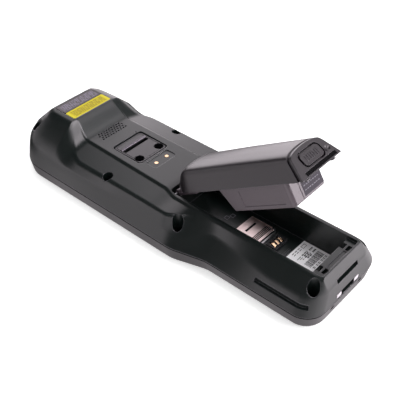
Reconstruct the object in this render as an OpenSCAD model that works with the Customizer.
// Portable barcode data terminal, lying on its display with the battery pack swung open.
// +Y runs to the scanner head, +Z out of the rear cover, +X across; the origin is under the middle.

/* [Case] */
// Length of the terminal from tail to scanner head
case_len = 205; // [203:0.5:208]
// Half width at the parting line, beside the display
body_half = 35.2; // [34.8:0.1:36]
// Half width at the parting line, along the grip
grip_half = 30.3; // [30:0.1:31]
// Plan radius of the two corners of the scanner head
head_r = 19.4; // [18:0.2:20.5]
// Plan radius of the two corners of the tail
tail_r = 11; // [9:0.5:12]
// Height of the front case, up to the seal
front_h = 7.55; // [7.4:0.05:8]
// Wall of the rear and front cases
wall = 1.8; // [1.5:0.1:2]
// Thickness of the front face, which the display and the keys sit in
face_t = 2.2; // [2.1:0.05:2.4]
// Height of the flat plateau on the rear
plateau_z = 25.1; // [24.8:0.1:26]
// Rise of the plateau from the battery bay to the scanner head
plateau_rise = 1.3; // [0.9:0.1:1.6]
// Length from the battery bay to the foot of the scanner head
plateau_len = 61.8; // [61:0.1:63]
// Half width of the plateau
plateau_half = 14.6; // [14:0.1:15.2]
// Height of the raised scanner head
bump_z = 35.2; // [35:0.1:37]
// Half width of the flat top of the scanner head
bump_half = 16.6; // [16.2:0.1:17.2]
// Distance from the head end back to the foot of the raised part
bump_back = 43.9; // [43.4:0.1:44.6]
// Run of the slope between plateau and head top
bump_run = 12; // [11.4:0.2:12.6]
// Height of the rim along the battery bay
rim_z = 23.9; // [23.5:0.1:24.3]
// Width of the flat rim beside the bay
rim_w = 1.6; // [1.4:0.1:1.9]
// Half width of the shoulder crease beside the display
shoulder_half = 29.2; // [28.9:0.1:29.8]
// Height of the shoulder crease beside the display
shoulder_z = 22.4; // [22:0.1:22.8]
// Half width of the grip crease at the tail
grip_crease_half = 25.2; // [25:0.1:25.6]
// Height of the grip crease at the tail
grip_crease_z = 16.2; // [15.8:0.1:16.8]

/* [Seal] */
// Thickness of the seal between the two cases
seal_t = 0.3; // [0.2:0.05:0.5]
// Distance of the seal from the outer face
seal_inset = 0.4; // [0.3:0.05:0.6]
// Width of the seal
seal_w = 0.8; // [0.5:0.05:0.9]

/* [Battery bay] */
// Half width of the bay
bay_half = 15.6; // [15.4:0.1:15.9]
// Distance from the tail end to the deep part of the bay
bay_tail_gap = 12.2; // [12:0.1:12.6]
// Height of the bay floor
bay_floor_z = 6.5; // [6.4:0.05:6.7]
// Thickness of the bay floor and walls
bay_wall = 1.2; // [1:0.05:1.3]
// Length of the ledge that the pack's tip covers
ledge_len = 6.1; // [5.9:0.1:6.5]
// Height of the ledge
ledge_z = 22; // [21.8:0.05:22.1]
// Corner radius of the bay in plan
bay_r = 1.5; // [1:0.25:2]

/* [Battery pack] */
// Angle at which the pack stands open
open_angle = 32.3; // [20:0.1:40]
// Side clearance between the pack and the bay
pack_gap = 0.8; // [0.5:0.05:0.9]
// Length of ledge that the tip of the pack covers
cover_lap = 4; // [3.7:0.1:4.3]
// Height of the cover's crown above its lower edge
cover_h = 12; // [11.6:0.1:12.6]
// Wall of the cover
cover_wall = 1.4; // [1.2:0.1:1.6]
// Gap between the cover's lower edge and the ledge when shut
shut_gap = 0.3; // [0.2:0.05:0.5]
// Overhang of the rounded nose past the lower head edge
nose = 2.2; // [1.8:0.1:2.4]
// Slope of the end cap, from upright
cap_tilt = 30; // [27:1:32]
// Half width of the cell housing under the cover
block_half = 12.2; // [11.8:0.1:12.6]
// Depth of the cell housing below the cover
block_h = 13.2; // [12.8:0.1:13.4]
// Distance from the cover's head edge to the housing at its root
block_near = 26.8; // [26:0.2:27.6]
// Distance from the cover's tip back to the far end of the housing
block_tip_gap = 12.9; // [11.5:0.1:13.5]
// Distance over which the head end of the housing slopes
block_slope = 5.8; // [5:0.2:6.4]
// Wall of the cell housing
block_wall = 1.2; // [1:0.05:1.3]
// Thickness of the plate that closes the cover
plate_t = 1.2; // [1:0.05:1.4]
// Clearance between the plate and the cover's wall
plate_gap = 0.25; // [0.2:0.05:0.4]

/* [Hinge] */
// Distance from the bay's head wall to the hinge axis
hinge_back = 2.4; // [2.3:0.05:2.6]
// Height of the hinge axis
hinge_z = 22; // [21.8:0.05:22.1]
// Distance from the hinge axis to the cover's lower head edge
hinge_to_cover = 4.4; // [4.3:0.05:4.7]
// Radius of the hinge barrel
barrel_r = 1.9; // [1.7:0.05:2]
// Half length of the hinge barrel
barrel_half = 12.5; // [11:0.25:13]
// Radius of the hinge pin
pin_r = 0.75; // [0.6:0.05:0.9]
// Radial running clearance of the pin in the barrel
pin_run = 0.05; // [0.02:0.01:0.08]
// Length of pin that each bay wall holds
pin_seat = 2; // [1.5:0.1:2.2]

/* [Latch] */
// Width of the latch button
latch_w = 13.8; // [12.5:0.1:14.5]
// Height of the latch button along the cap
latch_h = 6.5; // [6:0.1:6.8]
// Gap round the button
latch_gap = 0.35; // [0.25:0.05:0.5]
// Travel of the button
latch_travel = 1.6; // [1.4:0.1:1.7]
// Distance of the button's centre from the cover's tip
latch_from_tip = 3.5; // [3.4:0.05:3.6]
// Height of the button's centre above the cover's lower edge
latch_rise = 6.2; // [6:0.1:6.4]
// Distance of each hook from the middle
hook_x = 10; // [9.5:0.25:10]
// Width of each hook
hook_w = 3; // [2.5:0.25:3]

/* [Display] */
// Width of the display window
lens_w = 56; // [54:0.5:57]
// Distance from the head end to the display window
lens_head_gap = 20.5; // [20:0.5:22]
// Distance from the head wall of the battery bay to the display window
lens_bay_gap = 5.2; // [5:0.1:6]
// Distance from the scan key to the display window
lens_key_gap = 14.8; // [14:0.2:16]
// Thickness of the window
lens_t = 1.1; // [0.9:0.05:1.2]
// Depth of the window below the front face
lens_sink = 0.3; // [0.2:0.05:0.4]
// Width of the display panel
lcd_w = 47; // [46:0.5:48]
// Length of window past each end of the display panel
lcd_end = 4; // [3.5:0.1:5]
// Thickness of the display panel
lcd_t = 2.6; // [2.4:0.05:2.7]

/* [Keys] */
// Width of a number key
key_w = 10.6; // [9:0.2:11]
// Land between two rows of keys
key_land = 3.2; // [3:0.1:3.8]
// Spacing of the key columns
key_dx = 13.4; // [12.6:0.1:13.8]
// Gap between a key and its opening
key_gap = 0.3; // [0.2:0.05:0.4]
// Depth of the key tops below the front face
key_sink = 0.6; // [0.4:0.05:0.9]
// Travel of a key
key_travel = 0.3; // [0.2:0.05:0.4]
// Thickness of a key's flange
key_flange = 0.3; // [0.2:0.05:0.4]
// Gap between a pressed key and the mat
mat_gap = 0.05; // [0.05:0.05:0.15]
// Thickness of the keypad mat
mat_t = 0.7; // [0.6:0.05:0.75]
// Distance from the tail end to the lowest row
keys_from_tail = 19; // [18.5:0.25:20]

/* [Circuit boards] */
// Thickness of the circuit boards
board_t = 1; // [0.8:0.05:1.1]
// Half width of the main board
board_half = 24; // [23.5:0.1:24.3]
// Half width of the keypad board
key_board_half = 19.8; // [19.4:0.1:20.4]

/* [Case screws] */
// Radius of the screw shanks
screw_r = 1.25; // [1.1:0.05:1.35]
// Radius of the screw heads
head_screw_r = 2.3; // [2.1:0.05:2.4]
// Height of the screw heads
screw_head_h = 1.8; // [1.4:0.1:2]
// Radius of the pocket over each screw
pocket_r = 2.8; // [2.65:0.05:2.9]
// Height of the pocket floors
pocket_z = 11; // [10.8:0.1:11.4]
// Clearance of the shanks in the rear case
shank_gap = 0.15; // [0.1:0.05:0.25]
// Clearance of the threads in the front bosses
thread_gap = 0.02; // [0.01:0.01:0.05]
// Radius of the front bosses
boss_r = 3; // [2.8:0.05:3.1]
// Wall of the rear bosses round the pockets
boss_wall = 0.8; // [0.7:0.05:0.9]
// Height at which the shanks end
screw_tip_z = 3.2; // [3:0.1:3.6]

/* [Rear fittings] */
// Half width of the strap plate
strap_half = 10.4; // [10:0.1:10.8]
// Length of the strap plate
strap_len = 20.6; // [20:0.1:21]
// Thickness of the strap plate
strap_t = 1.1; // [0.9:0.05:1.2]
// Gap round the strap plate
strap_gap = 0.25; // [0.15:0.05:0.35]
// Width of the strap slot
strap_slot = 2.6; // [2.2:0.1:2.8]
// Half spacing of the strap screws
strap_screw_x = 7.5; // [7.2:0.1:7.8]
// Half spacing of the charging contacts
charge_dx = 4; // [3.8:0.05:4.3]
// Radius of the charging contacts
charge_r = 1.05; // [0.9:0.05:1.15]
// Radius of a speaker hole
grille_r = 0.55; // [0.4:0.05:0.6]
// Spacing of the speaker holes
grille_pitch = 1.9; // [1.8:0.05:2]
// Depth of the recess for the head plates
label_sink = 0.5; // [0.4:0.05:0.6]
// Gap between the head plates and their recess
label_gap = 0.25; // [0.15:0.05:0.35]
// Width of the scan window
scan_w = 22; // [21:0.25:22.5]
// Height of the scan window along the slope
scan_h = 11; // [10.4:0.1:11.4]
// Thickness of the scan window
scan_t = 1.2; // [1:0.05:1.3]

/* [Tail fittings] */
// Half width of the lanyard slot
lanyard_half = 8.1; // [7.6:0.1:8.4]
// Height of the lanyard slot
lanyard_h = 2; // [1.4:0.1:2.2]
// Half width of the dock connector
dock_half = 4.7; // [4.5:0.1:4.9]
// Height of the dock connector
dock_h = 1.8; // [1.5:0.1:1.9]
// Spacing of the dock pads from the middle
pad_x = 7.4; // [7.1:0.1:7.6]
// Depth of the side grooves on the grip
groove_d = 1; // [0.8:0.05:1.1]
// Height of the side grooves
groove_h = 2.2; // [1.8:0.1:2.4]

/* [Hidden] */
$fn = 32;
eps = 0.01;

// places along the case
y_head = case_len / 2;
y_tail = -case_len / 2;
bump_foot_y = y_head - bump_back;
bump_top_y = bump_foot_y + bump_run;
bay_tail_y = y_tail + bay_tail_gap;
bay_head_y = bump_foot_y - plateau_len;
ledge_tail_y = bay_tail_y - ledge_len;
waist_hi_y = bay_head_y - 17;
waist_lo_y = bay_head_y - 36;
shoulder_hi_y = bay_head_y - 7.8;
shoulder_lo_y = bay_head_y - 21.5;
plateau_tail_y = bay_head_y + 2.2;
rim_head_y = bay_head_y - 3.8;
bump_end_back = 14.2;
rear_z = front_h + seal_t;
rim_half = bay_half + rim_w;
waist_crease_half = grip_crease_half - 3.7;
waist_crease_z = grip_crease_z + 1.2;
plateau_flare = 0.9;
// lower crease of the side: scallop at the waist, plain side beside the bay, head
scallop_in = 5.2;
scallop_z = 13;
side_in = 3.6;
side_z = 16.6;
head_side_out = 1.6;
// outer crease of the shoulder climbs to the top of the head over this much more than the slope
climb_back = 7;
side_bulge = 1.6;
lower_crease_r = 1.6;
lower_crease_r_head = 4;
shoulder_r = 1.8;
head_top_r = 3;

// shoulders of the case section
step_w = 1.2;
step_h = 0.95;
face_in = 1.1;
grip_face_in = 2;
face_round = 0.7;

function clamp(t) = max(0, min(1, t));
function ramp(y, a, b) = clamp((y - a) / (b - a));
function ease(t) = t * t * (3 - 2 * t);
function mix(a, b, t) = a + (b - a) * t;
function arc_in(d, r) = r - sqrt(max(0, r * r - d * d));
function unit(v) = v / max(eps, norm(v));
function span(a, b, n) = [for (k = [1 : n]) mix(a, b, k / n)];

// half width of the plan at y, drawn in by i
function plan_full(y) = mix(grip_half, body_half, ramp(y, waist_lo_y, waist_hi_y));
function plan_half(y, i) =
  let (dh = min(head_r - i, max(0, y - y_head + head_r)))
  let (dt = min(tail_r - i, max(0, y_tail + tail_r - y)))
  plan_full(y) - i - arc_in(dh, head_r - i) - arc_in(dt, tail_r - i);

// stations of every lofted shell, from tail to head
function stations(i) = concat(
  [for (a = [90 : -18 : 0]) y_tail + tail_r - (tail_r - i) * sin(a)],
  span(y_tail + tail_r, waist_lo_y, 4),
  span(waist_lo_y, shoulder_lo_y, 4),
  span(shoulder_lo_y, waist_hi_y, 2),
  span(waist_hi_y, shoulder_hi_y, 4),
  span(shoulder_hi_y, rim_head_y, 1),
  span(rim_head_y, plateau_tail_y, 2),
  span(plateau_tail_y, bump_foot_y, 3),
  span(bump_foot_y, bump_top_y, 5),
  [for (a = [0 : 15 : 90]) y_head - head_r + (head_r - i) * sin(a)]
);

// how far the two ends lean in at height z
function head_lean(y, z) =
  let (f = ramp(y, y_head - 34, y_head))
  let (low = ramp(z, 19.4, 24.3) * 2.9)
  let (high = ramp(z, 24.3, bump_z) * (bump_end_back - 2.9))
  -f * (low + high);
function tail_lean(y, z) =
  let (f = ramp(-y, -y_tail - 14.5, -y_tail))
  let (low = ramp(z, rear_z, 18) * 1.8)
  let (high = ramp(z, 18, rim_z) * 3.2)
  f * (low + high);
function face_lean(y, z) =
  let (d = 1.2 * (1 - ramp(z, 0, front_h)))
  d * (ramp(-y, -y_tail - tail_r, -y_tail) - ramp(y, y_head - head_r, y_head));

// right half of the rear case's section at y, drawn in by i, from the seal to the top:
// the lower crease runs the whole length, the shoulder crease from the waist up to the head's top
function climb_at(y) = pow(ramp(y, bump_foot_y - climb_back, bump_top_y), 1.6);
function lower_at(y) =
  let (g = ramp(y, y_tail + 30.5, waist_lo_y - 3))
  let (grip = mix([grip_crease_half, grip_crease_z], [waist_crease_half, waist_crease_z], g))
  let (s = ramp(y, waist_hi_y, shoulder_hi_y))
  let (out = head_side_out * ease(ramp(y, bump_foot_y - 50, bump_foot_y)))
  let (side = [body_half - mix(scallop_in, side_in, s) + out, mix(scallop_z, side_z, s)])
  mix(grip, side, ease(ramp(y, waist_lo_y, waist_hi_y)));
function plateau_at(y) = plateau_z + plateau_rise * ramp(y, plateau_tail_y, bump_foot_y);
function top_at(y) =
  let (p = ramp(y, rim_head_y, plateau_tail_y))
  let (half = plateau_half + plateau_flare * (1 - ramp(y, plateau_tail_y, bump_foot_y)))
  let (flat = mix([rim_half, rim_z], [half, plateau_at(y)], p))
  mix(flat, [bump_half, bump_z], ease(ramp(y, bump_foot_y, bump_top_y)));
function end_taper(y) = 0.3 * max(0, y - y_head + 6, y_tail + 6 - y);
function rounded(a, c, b, r) =
  let (ra = min(r, norm(a - c) * 0.45))
  let (rb = min(r, norm(b - c) * 0.45))
  let (p = c + unit(a - c) * ra)
  let (q = c + unit(b - c) * rb)
  [p, (p + 2 * c + q) / 4, q];
function rear_half(y, i, base_z) =
  let (w = plan_half(y, i))
  let (pull = plan_full(y) - i - w)
  let (top = top_at(y) - [i + end_taper(y), i])
  let (t = ease(ramp(y, bump_foot_y + 2, bump_top_y)))
  let (foot = top + mix([step_w, -step_h], [-3.4, -0.03], t))
  let (low = lower_at(y) - [i + pull * 0.93, i * 0.6])
  let (climb = climb_at(y))
  let (flank = mix([shoulder_half - i - pull * 0.86, shoulder_z - i], top + [step_w, -0.6], climb))
  let (wide = [max(flank[0], top[0] + step_w + 0.4 * (1 - climb)), flank[1]])
  let (shoulder = mix(mix(foot, low, 0.2), wide, ease(ramp(y, shoulder_lo_y, shoulder_hi_y))))
  let (out = side_bulge * climb * (1 - pull / head_r))
  let (lower_r = mix(lower_crease_r, lower_crease_r_head, ease(ramp(y, 0, bump_foot_y))))
  concat([[w, base_z]],
    rounded([w, rear_z], low, shoulder, lower_r),
    [mix(low, shoulder, 0.45) + out * [0.75, 0.66]],
    rounded(low, shoulder, foot, mix(shoulder_r, head_top_r, climb)),
    [foot, top + mix([0.4, -0.25], [-4, -0.01], t), top + mix([-0.6, 0], [-4.8, 0], t)]);
function rear_ring(y, i, base_z) =
  let (half = rear_half(y, i, base_z))
  close_ring([for (p = half) [p[0], y + head_lean(y, p[1]) + tail_lean(y, p[1]), p[1]]]);

// right half of the front case's section at y
function front_ring(y, i, z0) =
  let (w = plan_half(y, i))
  let (n = mix(grip_face_in, face_in, ramp(y, waist_lo_y, waist_hi_y)))
  let (half = i > 0 ? [[w - n, z0], [w, front_h + 1]]
    : [[w - n - face_round, 0], [w - n, face_round], [w, front_h]])
  close_ring([for (p = half) [p[0], y + face_lean(y, p[1]), p[1]]]);

function close_ring(half) =
  concat(half, [for (k = [len(half) - 1 : -1 : 0]) [-half[k][0], half[k][1], half[k][2]]]);

// closed skin over a row of rings that are mirror images about x = 0
module loft(rings) {
  n = len(rings[0]);
  m = len(rings);
  last = (m - 1) * n;
  sides = [for (i = [0 : m - 2], j = [0 : n - 1])
    let (a = i * n + j, b = i * n + (j + 1) % n)
    each j < n / 2 ? [[a, b, b + n], [a, b + n, a + n]] : [[a, b, a + n], [b, b + n, a + n]]];
  caps = [for (k = [0 : n / 2 - 2])
    each [
      [k, n - 1 - k, n - 2 - k], [k, n - 2 - k, k + 1],
      [last + k, last + k + 1, last + n - 2 - k], [last + k, last + n - 2 - k, last + n - 1 - k]
    ]];
  polyhedron(points = [for (r = rings) each r], faces = concat(sides, caps), convexity = 8);
}

// flat rounded rectangle
module rounded_rect(w, l, r) {
  square([w - 2 * r, l], center = true);
  square([w, l - 2 * r], center = true);
  for (sx = [-1, 1], sy = [-1, 1])
    translate([sx * (w / 2 - r), sy * (l / 2 - r)]) circle(r);
}
module slab(x0, x1, y0, y1, z0, z1) {
  translate([x0, y0, z0]) cube([x1 - x0, y1 - y0, z1 - z0]);
}
module rounded_slab(w, y0, y1, z0, z1, r) {
  translate([0, (y0 + y1) / 2, z0]) linear_extrude(z1 - z0) rounded_rect(w, y1 - y0, r);
}
// a side view drawn as [y, z] points and extruded over the width
module side_view(w, points) {
  rotate([90, 0, 90]) linear_extrude(w, center = true) polygon(points);
}
module mirrored() {
  children();
  mirror([1, 0, 0]) children();
}

// case screws
screw_places = [
  [23, y_head - 9], [27, bay_head_y + 34.5],
  [26.6, bay_head_y - 15.2], [20.2, y_tail + 7.2]
];
module at_screws() {
  for (p = screw_places, s = [-1, 1])
    translate([s * p[0], p[1], 0]) children();
}
module case_screws() {
  color("dimgray") at_screws() {
    translate([0, 0, screw_tip_z]) cylinder(h = pocket_z - screw_tip_z + eps, r = screw_r);
    difference() {
      translate([0, 0, pocket_z]) cylinder(h = screw_head_h, r = head_screw_r);
      translate([0, 0, pocket_z + screw_head_h * 0.4])
        cylinder(h = screw_head_h, r = head_screw_r * 0.45, $fn = 6);
    }
  }
}

// rear fittings
strap_y = bay_head_y + 36.9;
strap_top_z = plateau_at(strap_y) - 0.3;
strap_seat_z = strap_top_z - strap_t;
strap_floor = 1.2;
well_half = strap_slot * 1.2;
strap_slot_y = strap_y + 3.4;
strap_screw_y = strap_y - strap_len / 2 + 3.5;
strap_screw_r = 1;
strap_head_r = 2.3;
strap_recess_r = 2.75;
strap_recess_d = 0.85;
strap_well_d = 4;
charge_y = strap_y - 16.1;
charge_top_z = plateau_at(charge_y);
charge_sink = 0.4;
charge_flange = 0.5;
mic_x = 8.3;
mic_y = strap_y + strap_len / 2 + 1.4;
mic_hole_r = 0.5;
mic_w = 4;
mic_len = 3;
mic_h = 1.1;
mic_gap = 0.15;
mic_top_z = plateau_at(mic_y) - wall;
grille_y = bump_foot_y - 2.3;
speaker_w = 20;
speaker_len = 11;
speaker_h = 3.3;
foam_h = 0.5;
foam_w = 0.8;
speaker_top_z = plateau_at(grille_y) - wall - 0.15;
grille_rows = 4;
grille_cols = 10;
label_half = 14;
label_tail_y = bump_top_y - 0.2;
label_head_y = y_head - bump_end_back - 0.8;
label_split_y = label_tail_y + 8;
label_z = bump_z - label_sink;
scan_y = y_head - 8.4;
scan_z = bump_z - 5.6;
tail_block_z = 14.4;
lanyard_z = 17.6;
lanyard_d = 4.2;
dock_z = rear_z + 0.6;
dock_gap = 0.1;
dock_len = 6.5;
pad_w = 3;
pad_h = 1.8;
pad_t = 0.8;
groove_z = 12.2;
groove_head_y = y_tail + 34.8;
catch_lip = 0.9;
catch_mouth = 2.2;
catch_under = 4.1;

// battery pack, drawn shut and then swung about the hinge
hinge_y = bay_head_y - hinge_back;
pack_y = hinge_y - hinge_to_cover;
pack_z = ledge_z + shut_gap;
pack_half = bay_half - pack_gap;
cover_len = pack_y - bay_tail_y + cover_lap;
block_far = cover_len - block_tip_gap;
latch_l = cover_len - latch_from_tip;
plate_tip_gap = 8.2;
far = 60;
cap_reach = cover_len * cos(cap_tilt);
cap_t = 1.8;
crown_fall = 0.6;
latch_y = pack_y - latch_l;
latch_z = pack_z + latch_rise;
latch_back = 2.6;
hook_t = 1;
hook_bar = 1.6;
hook_drop = 2.2;
hook_nose = 1.1;
hook_nose_h = 0.9;
catch_d = hook_drop + latch_travel + 1.1;
module swung() {
  translate([0, hinge_y, hinge_z]) rotate([-open_angle, 0, 0]) translate([0, -hinge_y, -hinge_z]) children();
}
module on_cap() {
  translate([0, latch_y, latch_z]) rotate([90 - cap_tilt, 0, 0]) children();
}
// space beyond a plane that lies d inside the end cap
module beyond_cap(d) {
  translate([0, pack_y, pack_z]) rotate([90 - cap_tilt, 0, 0])
    translate([-far, -far, cap_reach - d]) cube([2 * far, 2 * far, far]);
}

// pocket for each latch hook, with a lip to catch it
module catch_pocket() {
  half = hook_w / 2 + 0.5;
  translate([hook_x, 0, 0]) {
    slab(-half, half, bay_tail_y - catch_mouth, bay_tail_y + eps, ledge_z - catch_d, ledge_z + eps);
    slab(-half, half, bay_tail_y - catch_under, bay_tail_y, ledge_z - catch_d, ledge_z - catch_lip);
  }
}
module side_groove() {
  corner_x = grip_half - tail_r;
  corner_y = y_tail + tail_r;
  // run of the side wall at the groove's height
  in = (groove_z - rear_z) / (grip_crease_z - rear_z) * (grip_half - grip_crease_half);
  translate([0, 0, groove_z - groove_h / 2]) {
    slab(grip_half - in - groove_d, body_half, corner_y, groove_head_y, 0, groove_h);
    translate([corner_x, corner_y, 0]) difference() {
      intersection() {
        cylinder(h = groove_h, r = tail_r + 4);
        rotate([0, 0, -40]) cube([20, 20, groove_h]);
      }
      translate([0, 0, -1]) cylinder(h = groove_h + 2, r = tail_r - in - groove_d);
      translate([-20, eps, -1]) cube([60, 40, groove_h + 2]);
    }
  }
}
module grille_holes() {
  for (row = [0 : grille_rows - 1], col = [0 : grille_cols - 1 - row % 2])
    translate([(col - (grille_cols - 1 - row % 2) / 2) * grille_pitch,
      grille_y + (row - (grille_rows - 1) / 2) * grille_pitch * 0.87, speaker_top_z - 1])
      cylinder(h = wall + 3, r = grille_r, $fn = 16);
}
module scan_frame() {
  translate([0, scan_y, scan_z]) rotate([-45, 0, 0]) children();
}
// floor and walls of the battery bay, up to height z1
module bay_tub(z1) {
  slab(-bay_half - bay_wall, bay_half + bay_wall, bay_tail_y - bay_wall, bay_head_y + bay_wall,
    bay_floor_z - bay_wall, z1);
}
module rear_inside() {
  bay_tub(40);
  // tail block with the ledge, the catches and the lanyard slot
  slab(-bay_half - bay_wall, bay_half + bay_wall, y_tail, bay_tail_y, tail_block_z, 40);
  // screw bosses
  at_screws() translate([0, 0, rear_z]) cylinder(h = 40, r = pocket_r + boss_wall);
  // floor under the strap plate, the well under its slot and its screw bosses
  slab(-strap_half - wall, strap_half + wall, strap_y - strap_len / 2 - wall, strap_y + strap_len / 2 + wall,
    strap_seat_z - strap_floor, 40);
  slab(-strap_half - strap_floor, strap_half + strap_floor, strap_slot_y - well_half - strap_floor,
    strap_slot_y + well_half + strap_floor, strap_seat_z - strap_well_d - strap_floor, 40);
  mirrored() translate([strap_screw_x, strap_screw_y, strap_seat_z - strap_well_d])
    cylinder(h = 20, r = strap_screw_r + 1);
}
module rear_cuts() {
  rounded_slab(2 * bay_half, bay_tail_y, bay_head_y, bay_floor_z, 40, bay_r);
  rounded_slab(2 * bay_half, ledge_tail_y, bay_tail_y + 2 * bay_r + 1, ledge_z, 40, bay_r);
  mirrored() catch_pocket();
  at_screws() {
    translate([0, 0, pocket_z]) cylinder(h = 40, r = pocket_r);
    cylinder(h = 40, r = screw_r + shank_gap);
  }
  // hinge pin seats
  translate([-bay_half - pin_seat, hinge_y, hinge_z]) rotate([0, 90, 0])
    cylinder(h = 2 * (bay_half + pin_seat), r = pin_r + thread_gap);
  // strap plate recess, its screws and the well under the slot
  rounded_slab(2 * (strap_half + strap_gap), strap_y - strap_len / 2 - strap_gap,
    strap_y + strap_len / 2 + strap_gap, strap_seat_z, 40, 2);
  slab(-strap_half + 0.8, strap_half - 0.8, strap_slot_y - well_half, strap_slot_y + well_half,
    strap_seat_z - strap_well_d, 40);
  mirrored() translate([strap_screw_x, strap_screw_y, strap_seat_z - strap_well_d])
    cylinder(h = 20, r = strap_screw_r + thread_gap);
  // charging contacts
  rounded_slab(16.4, charge_y - 3.4, charge_y + 4.1, charge_top_z - charge_sink, 40, 1.5);
  mirrored() translate([charge_dx, charge_y, 10]) cylinder(h = 30, r = charge_r + dock_gap);
  grille_holes();
  translate([mic_x, mic_y, mic_top_z - 1]) cylinder(h = wall + 2, r = mic_hole_r);
  translate([mic_x, mic_y, mic_top_z - strap_well_d]) linear_extrude(strap_well_d)
    rounded_rect(mic_w + 2 * mic_gap, mic_len + 2 * mic_gap, 0.5);
  rounded_slab(2 * label_half, label_tail_y, label_head_y, label_z, 60, 1);
  // scan window
  scan_frame() {
    linear_extrude(20) rounded_rect(scan_w + 2 * label_gap, scan_h + 2 * label_gap, 1.5);
    translate([0, 0, -6]) linear_extrude(20) rounded_rect(scan_w - 2.4, scan_h - 2.4, 1);
  }
  // tail face
  slab(-lanyard_half, lanyard_half, y_tail - 1, y_tail + 1.5 + lanyard_d,
    lanyard_z - lanyard_h / 2, lanyard_z + lanyard_h / 2);
  slab(-dock_half - dock_gap, dock_half + dock_gap, y_tail - 1, y_tail + dock_len,
    dock_z - dock_gap, dock_z + dock_h + dock_gap);
  mirrored() translate([pad_x, 0, 0])
    slab(-pad_w / 2 - dock_gap, pad_w / 2 + dock_gap, y_tail - 1, y_tail + 0.6 + pad_t,
      dock_z - dock_gap, dock_z + pad_h + dock_gap);
  mirrored() side_groove();
}
module rear_case() {
  color("#2b2c30") difference() {
    union() {
      difference() {
        loft([for (y = stations(0)) rear_ring(y, 0, rear_z)]);
        difference() {
          loft([for (y = stations(wall)) rear_ring(y, wall, rear_z - 1)]);
          rear_inside();
        }
      }
      bay_tub(rear_z + 1);
    }
    rear_cuts();
  }
}

// front case
keys_y = y_tail + keys_from_tail;
scan_key_w = 16.2;
scan_key_len = 11;
lens_y0 = bay_head_y + lens_bay_gap;
lens_y1 = y_head - lens_head_gap;
soft_y = lens_y0 - lens_key_gap - scan_key_len / 2;
key_dy = (soft_y - 1.6 - keys_y) / 6;
key_len = key_dy - key_land;
lens_y = (lens_y0 + lens_y1) / 2;
lens_len = lens_y1 - lens_y0;
lcd_len = lens_len - 2 * lcd_end;
post_x = 21;
post_dy = lcd_len / 2 + 3;
post_r = 2;
post_hole_r = 0.8;
board_z = face_t + lcd_t;
board_len = lens_len + 4;
board_tail_y = lens_y - board_len / 2;
board_head_y = lens_y + board_len / 2;
soft_w = 8.4;
soft_len = 8;
soft_x = 14.2;
notch_x = 12;
notch_z = 4.6;
notch_w = 2.8;
notch_h = 2.2;
notch_d = 1.3;
key_round = 1.6;
flange_out = 0.6;
flange_z = face_t + 0.05;
number_names = [["key_1", "key_2", "key_3"], ["key_4", "key_5", "key_6"], ["key_7", "key_8", "key_9"],
  ["key_star", "key_0", "key_hash"]];

// key places as name, x, y, width, length
keys = concat(
  [for (row = [0 : 3], col = [0 : 2])
    [number_names[row][col], (1 - col) * key_dx, keys_y + (3 - row) * key_dy, key_w, key_len]],
  [
    ["power_key", 0, keys_y + 4.15 * key_dy, key_w, key_len],
    ["left_soft_key", soft_x, soft_y, soft_w, soft_len],
    ["right_soft_key", -soft_x, soft_y, soft_w, soft_len],
    ["scan_key", 0, soft_y, scan_key_w, scan_key_len]
  ]
);
module key(k) {
  name = keys[k][0];
  w = keys[k][3];
  l = keys[k][4];
  color(name == "scan_key" ? "#d8862a" : name == "power_key" ? "#a83232" : "#c9cdd2")
    translate([keys[k][1], keys[k][2], 0]) {
      translate([0, 0, key_sink]) linear_extrude(flange_z - key_sink + eps) rounded_rect(w, l, key_round);
      translate([0, 0, flange_z]) linear_extrude(key_flange)
        rounded_rect(w + 2 * flange_out, l + 2 * flange_out, key_round);
    }
}
module front_case() {
  color("#2b2c30") difference() {
    loft([for (y = stations(0)) front_ring(y, 0, 0)]);
    difference() {
      loft([for (y = stations(wall)) front_ring(y, wall, face_t)]);
      at_screws() cylinder(h = front_h, r = boss_r);
      for (sx = [-1, 1], sy = [-1, 1])
        translate([sx * post_x, lens_y + sy * post_dy, 0]) cylinder(h = board_z, r = post_r);
    }
    at_screws() translate([0, 0, screw_tip_z - 0.4]) cylinder(h = 20, r = screw_r + thread_gap);
    for (sx = [-1, 1], sy = [-1, 1])
      translate([sx * post_x, lens_y + sy * post_dy, face_t - 0.6])
        cylinder(h = 20, r = post_hole_r + thread_gap);
    // display window
    translate([0, lens_y, -1]) linear_extrude(1 + lens_sink + lens_t)
      rounded_rect(lens_w + 2 * label_gap, lens_len + 2 * label_gap, 3);
    translate([0, lens_y, -1]) linear_extrude(6) rounded_rect(lcd_w - 4, lcd_len - 6, 1);
    for (k = keys)
      translate([k[1], k[2], -1]) linear_extrude(6)
        rounded_rect(k[3] + 2 * key_gap, k[4] + 2 * key_gap, key_round + key_gap);
    // cradle notches in the tail
    mirrored() translate([notch_x, 0, 0])
      slab(-notch_w / 2, notch_w / 2, y_tail - 1, y_tail + 0.6 + notch_d,
        notch_z - notch_h / 2, notch_z + notch_h / 2);
  }
}
module case_gasket() {
  color("#151515") translate([0, 0, front_h]) linear_extrude(seal_t) difference() {
    outline(seal_inset);
    outline(seal_inset + seal_w);
  }
}
module outline(i) {
  side = [for (y = stations(i)) [plan_half(y, i), y]];
  polygon(concat(side, [for (k = [len(side) - 1 : -1 : 0]) [-side[k][0], side[k][1]]]));
}

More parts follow.
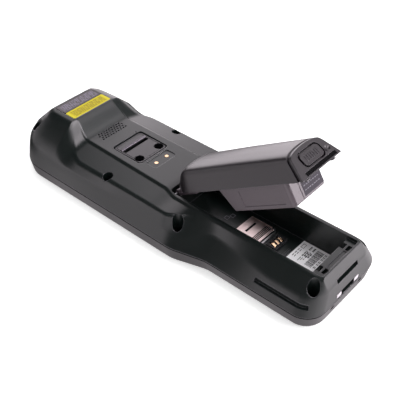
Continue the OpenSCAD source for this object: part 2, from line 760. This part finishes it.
// plates, strap plate and contacts
module yellow_plate() {
  color("#e2d545") rounded_slab(2 * (label_half - label_gap), label_tail_y + label_gap, label_split_y,
    label_z, bump_z - 0.05, 0.8);
}
module rating_plate() {
  color("#9d9a9c") rounded_slab(2 * (label_half - label_gap), label_split_y + label_gap,
    label_head_y - label_gap, label_z, bump_z - 0.05, 0.8);
}
module strap_plate() {
  color("#3a3b40") difference() {
    union() {
      rounded_slab(2 * strap_half, strap_y - strap_len / 2, strap_y + strap_len / 2,
        strap_seat_z, strap_top_z, 1.8);
      // bar that the strap turns round
      slab(-strap_half + 0.8, strap_half - 0.8, strap_slot_y + strap_slot / 2 + 0.2,
        strap_slot_y + strap_slot / 2 + 1.4, strap_top_z - 0.2, strap_top_z + 0.5);
    }
    slab(-strap_half + 1.2, strap_half - 1.2, strap_slot_y - strap_slot / 2,
      strap_slot_y + strap_slot / 2, 10, 40);
    mirrored() translate([strap_screw_x, strap_screw_y, 0]) {
      cylinder(h = 40, r = strap_screw_r + shank_gap);
      translate([0, 0, strap_top_z - strap_recess_d]) cylinder(h = 5, r = strap_recess_r);
    }
  }
}
module strap_screws() {
  color("dimgray") mirrored() translate([strap_screw_x, strap_screw_y, strap_top_z - strap_recess_d]) {
    translate([0, 0, -strap_well_d]) cylinder(h = strap_well_d + eps, r = strap_screw_r);
    cylinder(h = 0.6, r = strap_head_r);
  }
}
module charge_contacts() {
  // flange just under the wall, pin up through it
  seat_z = charge_top_z - wall - 0.1;
  color("gold") mirrored() translate([charge_dx, charge_y, seat_z]) {
    translate([0, 0, -eps]) cylinder(h = charge_top_z - charge_sink + 0.15 - seat_z, r = charge_r);
    translate([0, 0, -charge_flange]) cylinder(h = charge_flange, r = charge_r + 0.8);
  }
}
module speaker() {
  round = speaker_len * 0.27;
  color("#222222") translate([0, grille_y, speaker_top_z]) {
    translate([0, 0, -foam_h - speaker_h]) linear_extrude(speaker_h)
      rounded_rect(speaker_w, speaker_len, round);
    // foam ring pressed against the grille
    translate([0, 0, -foam_h]) linear_extrude(foam_h) difference() {
      rounded_rect(speaker_w, speaker_len, round);
      rounded_rect(speaker_w - 2 * foam_w, speaker_len - 2 * foam_w, round - foam_w);
    }
  }
}
module microphone() {
  color("silver") translate([mic_x, mic_y, mic_top_z - mic_h - 0.1]) linear_extrude(mic_h)
    rounded_rect(mic_w, mic_len, 0.4);
}

// scanner head
engine_y = y_head - 22.5;
engine_z = 18.2;
engine_w = 21;
engine_len = 14;
engine_h = 11;
bracket_w = 24;
bracket_foot = 4;
antenna_t = 0.9;
antenna_half = 11;
bracket_t = 1;
module scan_window() {
  color("#5a1518") scan_frame() linear_extrude(scan_t) rounded_rect(scan_w, scan_h, 1.3);
}
module scan_engine() {
  y1 = engine_y + engine_len / 2;
  color("#3c4148") difference() {
    slab(-engine_w / 2, engine_w / 2, y1 - engine_len, y1, engine_z, engine_z + engine_h);
    slab(-engine_w * 0.38, engine_w * 0.38, y1 - 2, y1 + 1, engine_z + 2, engine_z + engine_h - 2);
  }
}
module engine_bracket() {
  base_z = board_z + board_t;
  half = bracket_w / 2;
  y0 = engine_y - engine_len / 2 + 1;
  y1 = engine_y + engine_len / 2;
  color("silver") {
    slab(-half, half, y0, y1, engine_z - bracket_t, engine_z);
    mirrored() {
      slab(half - bracket_t, half, y0, y1, base_z + bracket_t - eps, engine_z - eps);
      slab(half - bracket_t, half + bracket_foot, y0, y1, base_z, base_z + bracket_t);
    }
  }
}

// boards and what they carry
module main_board() {
  color("#1f5a35") difference() {
    slab(-board_half, board_half, board_tail_y, board_head_y, board_z, board_z + board_t);
    for (sx = [-1, 1], sy = [-1, 1])
      translate([sx * post_x, lens_y + sy * post_dy, 0]) cylinder(h = 20, r = post_hole_r + shank_gap);
  }
}
module board_screws() {
  color("silver") for (sx = [-1, 1], sy = [-1, 1])
    translate([sx * post_x, lens_y + sy * post_dy, board_z + board_t]) {
      cylinder(h = 0.9, r = 1.6);
      translate([0, 0, -3]) cylinder(h = 3 + eps, r = post_hole_r);
    }
}
// corner x and y, width and length of each can
shield_places = [[-18, -4, 20, 20], [6, 0, 12, 18], [4, -26, 14, 18]];
shield_h = 1.6;
module shield_cans() {
  z = board_z + board_t;
  color("silver") for (can = shield_places)
    slab(can[0], can[0] + can[2], lens_y + can[1], lens_y + can[1] + can[3], z, z + shield_h);
}
cell_r = 6;
cell_h = 2.5;
motor_r = 2;
motor_len = 11;
module backup_cell() {
  color("silver") translate([-11, board_tail_y + 22, board_z + board_t]) {
    cylinder(h = cell_h * 0.8, r = cell_r);
    cylinder(h = cell_h, r = cell_r - 1);
  }
}
module vibration_motor() {
  color("gray") translate([-motor_len / 2, board_tail_y + 6, board_z + board_t + motor_r])
    rotate([0, 90, 0]) cylinder(h = motor_len, r = motor_r);
}
module antenna() {
  z1 = bump_z - wall - 0.05;
  color("#b8863a") slab(-antenna_half, antenna_half, engine_y - 4, engine_y + 6, z1 - antenna_t, z1);
}
module display_lens() {
  color("#101418") translate([0, lens_y, lens_sink]) linear_extrude(lens_t)
    rounded_rect(lens_w, lens_len, 2.8);
}
module lcd_panel() {
  color("#5b6268") slab(-lcd_w / 2, lcd_w / 2, lens_y - lcd_len / 2, lens_y + lcd_len / 2, face_t, board_z);
}
mat_z = flange_z + key_flange + key_travel + mat_gap;
mat_half = key_board_half;
mat_y0 = keys_y - key_len;
mat_y1 = soft_y + scan_key_len / 2 + 1.4;
module keypad_mat() {
  color("#44474c") difference() {
    slab(-mat_half - 0.8, mat_half + 0.8, mat_y0 - 0.8, mat_y1 + 0.8, face_t, mat_z + mat_t);
    slab(-mat_half, mat_half, mat_y0, mat_y1, face_t - 1, mat_z);
  }
}
module keypad_board() {
  z = mat_z + mat_t;
  color("#1f5a35") slab(-key_board_half, key_board_half, mat_y0, mat_y1, z, z + board_t);
}

flex_t = 0.2;
flex_w = 14;
flex_lap = 5;
// ribbon from the top of the keypad board to the underside of the main board
module keypad_flex() {
  z0 = mat_z + mat_t + board_t;
  z1 = board_z - flex_t;
  y0 = mat_y1 - flex_lap;
  y1 = board_tail_y + flex_lap;
  color("#b0702a") side_view(flex_w, [
    [y0, z0], [mat_y1, z0], [board_tail_y, z1], [y1, z1],
    [y1, z1 + flex_t], [board_tail_y, z1 + flex_t], [mat_y1, z0 + flex_t], [y0, z0 + flex_t]
  ]);
}

// fittings on the bay floor
socket_x = 4;
socket_w = 14.4;
socket_len = 14.8;
socket_y = bay_tail_y + 46.5;
socket_h = 1.3;
socket_lid_t = 0.3;
card_pin_r = 0.3;
card_hinge_y = socket_y - socket_len / 2 - 0.1;
card_hinge_z = bay_floor_z + socket_h + 0.1;
spring_x = [1.2, 3.9, 6.6];
spring_y = bay_tail_y + 32.5;
spring_top_z = pack_z - block_h - 0.35;
module contact_block() {
  color("#6b6b70") difference() {
    slab(-1, 9.6, spring_y - 3.4, spring_y + 3.2, bay_floor_z, bay_floor_z + 1.5);
    for (x = spring_x)
      slab(x - 0.8, x + 0.8, spring_y - 2.2, spring_y + 2.2, bay_floor_z + 0.5, bay_floor_z + 4);
  }
}
module contact_springs() {
  z = bay_floor_z + 0.5;
  color("gold") for (x = spring_x)
    translate([x, 0, 0]) side_view(1.3, [
      [spring_y - 2, z], [spring_y + 2, z], [spring_y + 2, z + 0.3], [spring_y + 0.9, z + 0.5],
      [spring_y + 0.2, spring_top_z], [spring_y - 0.6, spring_top_z], [spring_y - 2, z + 0.3]
    ]);
}
module socket_plan(from_tail, z0, z1) {
  slab(socket_x - socket_w / 2, socket_x + socket_w / 2, socket_y - socket_len / 2 + from_tail,
    socket_y + socket_len / 2, z0, z1);
}
module card_socket() {
  color("#4a4a4e") difference() {
    union() {
      socket_plan(0, bay_floor_z, bay_floor_z + socket_h);
      // ears that hold the lid's pin
      for (s = [-1, 1])
        translate([socket_x + s * (socket_w / 2 - 0.6), 0, 0])
          slab(-0.5, 0.5, card_hinge_y - 0.6, card_hinge_y + 0.2, bay_floor_z, card_hinge_z + 0.6);
    }
    slab(socket_x - 5.7, socket_x + 5.7, socket_y - 6.2, socket_y + 8, bay_floor_z + 0.5, bay_floor_z + 4);
    translate([socket_x - socket_w / 2 + 0.3, card_hinge_y, card_hinge_z]) rotate([0, 90, 0])
      cylinder(h = socket_w - 0.6, r = card_pin_r + pin_run);
  }
}
module card_lid() {
  z0 = bay_floor_z + socket_h + 0.05;
  z1 = z0 + socket_lid_t;
  color("#e9dcd8") {
    difference() {
      socket_plan(0.9, z0, z1);
      slab(socket_x - 3.6, socket_x + 3.6, socket_y + 2.4, socket_y + 3, 0, 20);
      slab(socket_x - 3.6, socket_x + 3.6, socket_y - 3.6, socket_y - 3, 0, 20);
    }
    slab(socket_x - socket_w / 2 + 1.5, socket_x + socket_w / 2 - 1.5,
      card_hinge_y, socket_y - socket_len / 2 + 1, z0, z1);
    translate([socket_x - socket_w / 2 + 0.35, card_hinge_y, card_hinge_z]) rotate([0, 90, 0])
      cylinder(h = socket_w - 0.7, r = card_pin_r);
  }
}
module bay_label() {
  color("white") slab(-bay_half + 0.3, bay_half - 0.5, bay_tail_y + 7.3, bay_tail_y + 23.1,
    bay_floor_z, bay_floor_z + 0.12);
}

// tail fittings
module dock_connector() {
  color("#1b1b1d") difference() {
    slab(-dock_half, dock_half, y_tail + 0.5, y_tail + dock_len - 0.3, dock_z, dock_z + dock_h);
    slab(-dock_half + 0.5, dock_half - 0.5, y_tail, y_tail + 4.5, dock_z + 0.4, dock_z + dock_h - 0.4);
  }
}
module dock_pads() {
  color("silver") mirrored() translate([pad_x, 0, 0])
    slab(-pad_w / 2, pad_w / 2, y_tail + 0.45, y_tail + 0.55 + pad_t, dock_z, dock_z + pad_h);
}
module hinge_pin() {
  half = bay_half + pin_seat - 0.1;
  color("silver") translate([-half, hinge_y, hinge_z]) rotate([0, 90, 0]) cylinder(h = 2 * half, r = pin_r);
}

// battery pack
function cover_top(l) =
  let (t = ramp(l, -nose, nose + 10))
  mix(cover_h * 0.46, cover_h - crown_fall * ramp(l, 40, 80), sqrt(1 - pow(1 - t, 2)));
function cover_half(l) =
  let (t = ramp(l, -nose, 8))
  mix(pack_half - 4.6, pack_half, sqrt(1 - pow(1 - t, 2)));
function cover_base(l) = cover_h * 0.34 * clamp(-l / nose);
// right half of the cover's section, as shares of its half width and its height
cover_section = [
  [1, 0], [0.92, 0.25], [0.83, 0.53], [0.76, 0.74], [0.68, 0.87], [0.5, 0.95], [0.25, 0.99], [0.07, 1]
];
function cover_ring(l, i) =
  let (b = i > 0 ? -1 : cover_base(l))
  let (h = cover_top(l) - i)
  close_ring([for (p = cover_section)
    [(cover_half(l) - i) * p[0], pack_y - l, pack_z + b + (h - b) * p[1]]]);
cover_stations = concat([cover_len + 2, cover_len - 20, 40, 20],
  [nose + 10, 9, 6, 3.5, 1.5, 0, -nose * 0.5, -nose]);
cavity_stations = [cover_len + 2, cover_len - 20, 40, 20, nose + 10, 8, 5, 3, cover_wall];
module battery_cover() {
  color("#3a3a3e") swung() difference() {
    loft([for (l = cover_stations) cover_ring(l, 0)]);
    difference() {
      loft([for (l = cavity_stations) cover_ring(l, cover_wall)]);
      beyond_cap(cap_t);
    }
    beyond_cap(0);
    on_cap() translate([0, 0, -5]) linear_extrude(10)
      rounded_rect(latch_w + 2 * latch_gap, latch_h + 2 * latch_gap, 2 + latch_gap);
  }
}
// share of the cavity's width that is left at the top of the plate
cavity_share = 0.935;
plate_half = (pack_half - cover_wall) * cavity_share - plate_gap;
plate_back = 8;
cell_half = block_half - block_wall - 0.3;
cell_y0 = pack_y - block_far + block_wall + 0.2;
cell_y1 = pack_y - block_near - block_slope - block_wall - 0.6;
cell_z0 = pack_z - block_h + block_wall + 0.1;
cell_t = 8.5;
module battery_housing() {
  z0 = pack_z;
  zb = pack_z - block_h;
  y0 = pack_y - block_near;
  y1 = pack_y - block_far;
  arm_z = hinge_z - barrel_r + 0.4;
  color("#6a6468") swung() difference() {
    union() {
      slab(-plate_half, plate_half, pack_y - cover_len + plate_tip_gap, pack_y - plate_back,
        z0, z0 + plate_t);
      side_view(2 * block_half, [[y0, z0 + 0.5], [y0, z0], [y0 - block_slope, zb], [y1, zb], [y1, z0 + 0.5]]);
      // hinge arm and barrel
      slab(-barrel_half, barrel_half, pack_y - plate_back - 2, hinge_y, arm_z, z0 - 0.1);
      slab(-barrel_half, barrel_half, pack_y - plate_back - 2, pack_y - plate_back, z0 - 0.2, z0 + 0.3);
      translate([-barrel_half, hinge_y, hinge_z]) rotate([0, 90, 0])
        cylinder(h = 2 * barrel_half, r = barrel_r);
    }
    // room for the cells
    side_view(2 * (block_half - block_wall), [
      [y0 - block_wall, z0 + 5], [y0 - block_wall, z0 + 1], [y0 - block_slope - block_wall, zb + block_wall],
      [y1 + block_wall, zb + block_wall], [y1 + block_wall, z0 + 5]
    ]);
    translate([-barrel_half - 1, hinge_y, hinge_z]) rotate([0, 90, 0])
      cylinder(h = 2 * barrel_half + 2, r = pin_r + pin_run);
    for (x = spring_x)
      slab(x - 0.9, x + 0.9, spring_y - 2.2, spring_y + 1.6, zb - 1, zb + 0.35);
  }
}
module battery_cells() {
  color("#8d9096") swung() for (z = [cell_z0, cell_z0 + cell_t + 0.1])
    slab(-cell_half, cell_half, cell_y0, cell_y1, z, z + cell_t);
}
module battery_board() {
  z = pack_z + plate_t;
  color("#1f5a35") swung() slab(-9, 9, pack_y - block_near + 2, pack_y - plate_back - 1, z, z + board_t);
}
module battery_pads() {
  zb = pack_z - block_h;
  color("gold") swung() for (x = spring_x)
    slab(x - 0.8, x + 0.8, spring_y - 2.1, spring_y + 1.5, zb + 0.05, zb + 0.35);
}
module latch_button() {
  // foot of each hook, seen from the button's centre along the cap
  foot = -(latch_rise + hook_drop) / cos(cap_tilt) + (latch_back + hook_t / 2) * tan(cap_tilt);
  tip_y = latch_y + foot * sin(cap_tilt) + (latch_back + hook_t) * cos(cap_tilt);
  tip_z = pack_z - hook_drop;
  color("#3a3a3e") swung() {
    on_cap() {
      translate([0, 0, -latch_back]) linear_extrude(latch_back + 0.3) rounded_rect(latch_w, latch_h, 2);
      translate([-hook_x - hook_w / 2, -latch_h / 2, -latch_back - hook_t])
        cube([2 * hook_x + hook_w, hook_bar, hook_t + eps]);
      mirrored() translate([hook_x - hook_w / 2, foot, -latch_back - hook_t])
        cube([hook_w, hook_bar - latch_h / 2 - foot, hook_t]);
    }
    mirrored() translate([hook_x, 0, 0])
      slab(-hook_w / 2, hook_w / 2, tip_y - hook_nose - hook_t, tip_y - hook_t * 0.3,
        tip_z, tip_z + hook_nose_h);
  }
}

rear_case();
front_case();
case_gasket();
case_screws();
yellow_plate();
rating_plate();
strap_plate();
strap_screws();
charge_contacts();
speaker();
microphone();
scan_window();
scan_engine();
engine_bracket();
main_board();
board_screws();
shield_cans();
backup_cell();
vibration_motor();
antenna();
display_lens();
lcd_panel();
keypad_mat();
keypad_board();
keypad_flex();
contact_block();
contact_springs();
card_socket();
card_lid();
bay_label();
dock_connector();
dock_pads();
hinge_pin();
battery_cover();
battery_housing();
battery_cells();
battery_board();
battery_pads();
latch_button();
for (k = [0 : len(keys) - 1])
  key(k);
